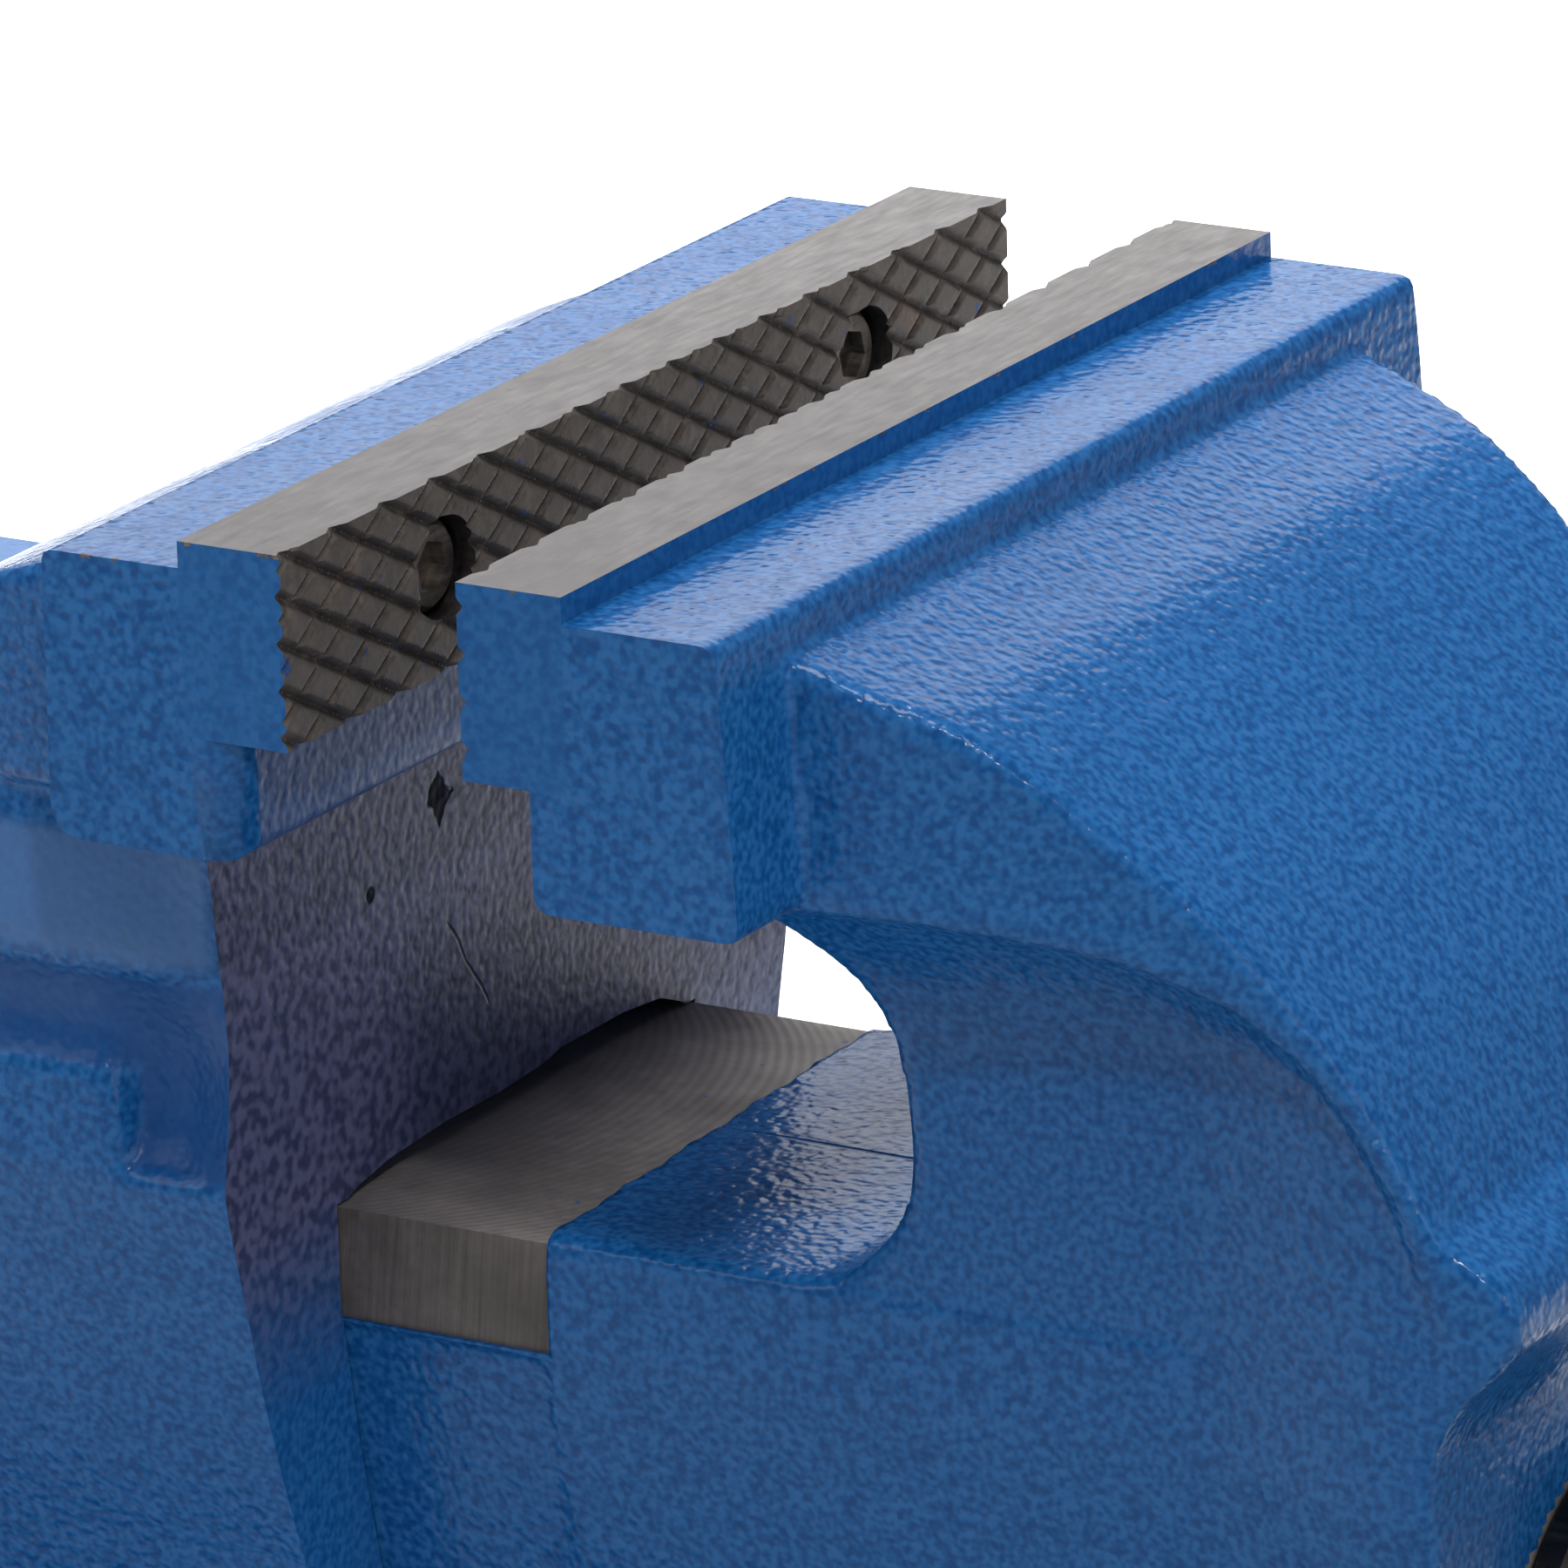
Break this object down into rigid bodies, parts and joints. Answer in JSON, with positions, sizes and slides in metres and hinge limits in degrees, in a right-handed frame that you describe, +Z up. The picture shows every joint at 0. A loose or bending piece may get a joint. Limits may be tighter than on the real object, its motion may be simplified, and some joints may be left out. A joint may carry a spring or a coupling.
{
  "type": "bench vise",
  "caption": "Heavy fixed-base bench vise: wide serrated jaws, arched moving jaw on a box slide, lead screw and sliding tommy bar.",
  "frame": {"origin": "centre of the base's flat underside", "axes": "+X out along the slide to the handle end, +Z up from the mounting face, +Y across the jaws"},
  "size_m": [0.383, 0.327, 0.21],
  "materials": {
    "blue_enamel": "glossy hammered enamel on cast iron",
    "ground_jaw_steel": "ground tops, serrated blackened grip faces, enamelled ends",
    "black_screws": "oiled black oxide",
    "turned_steel": "bright turned, lightly oiled",
    "bar_steel": "zinc plated, satin",
    "spring_steel": "dark oiled",
    "nut_bronze": "as-cast bronze with turned bore"
  },
  "bodies": {
    "fixed_body": {"fixed_jaw_body": "blue_enamel", "rear_jaw_plate": "ground_jaw_steel", "rear_plate_screws": "black_screws", "main_nut": "nut_bronze", "nut_bolt": "black_screws", "nut_bolt_washer": "turned_steel", "nut_dowels": "turned_steel"},
    "moving_jaw": {"moving_jaw_slide": "blue_enamel", "front_jaw_plate": "ground_jaw_steel", "front_plate_screws": "black_screws", "thrust_washer": "black_screws", "backlash_spring": "spring_steel"},
    "screw": {"lead_screw": "turned_steel", "spring_washer": "turned_steel", "split_pin": "turned_steel"},
    "bar": {"tommy_bar": "bar_steel", "left_bar_knob": "bar_steel", "right_bar_knob": "bar_steel"}
  },
  "joints": [
    {"name": "jaw_slide", "type": "slide", "parent": "fixed_body", "child": "moving_jaw", "axis": [1, 0, 0], "range_m": [-0.0208, 0.1291]},
    {"name": "screw_turn", "type": "hinge", "parent": "moving_jaw", "child": "screw", "pos_m": [0.213, 0, 0.08], "axis": [1, 0, 0], "range_deg": [-1497, 9288]},
    {"name": "bar_slide", "type": "slide", "parent": "screw", "child": "bar", "axis": [0, 1, 0], "range_m": [-0.112, 0.112]}
  ],
  "couplings": [
    {"joint": "jaw_slide", "follows": "screw_turn", "m_per_rad": 0.00079577}
  ]
}
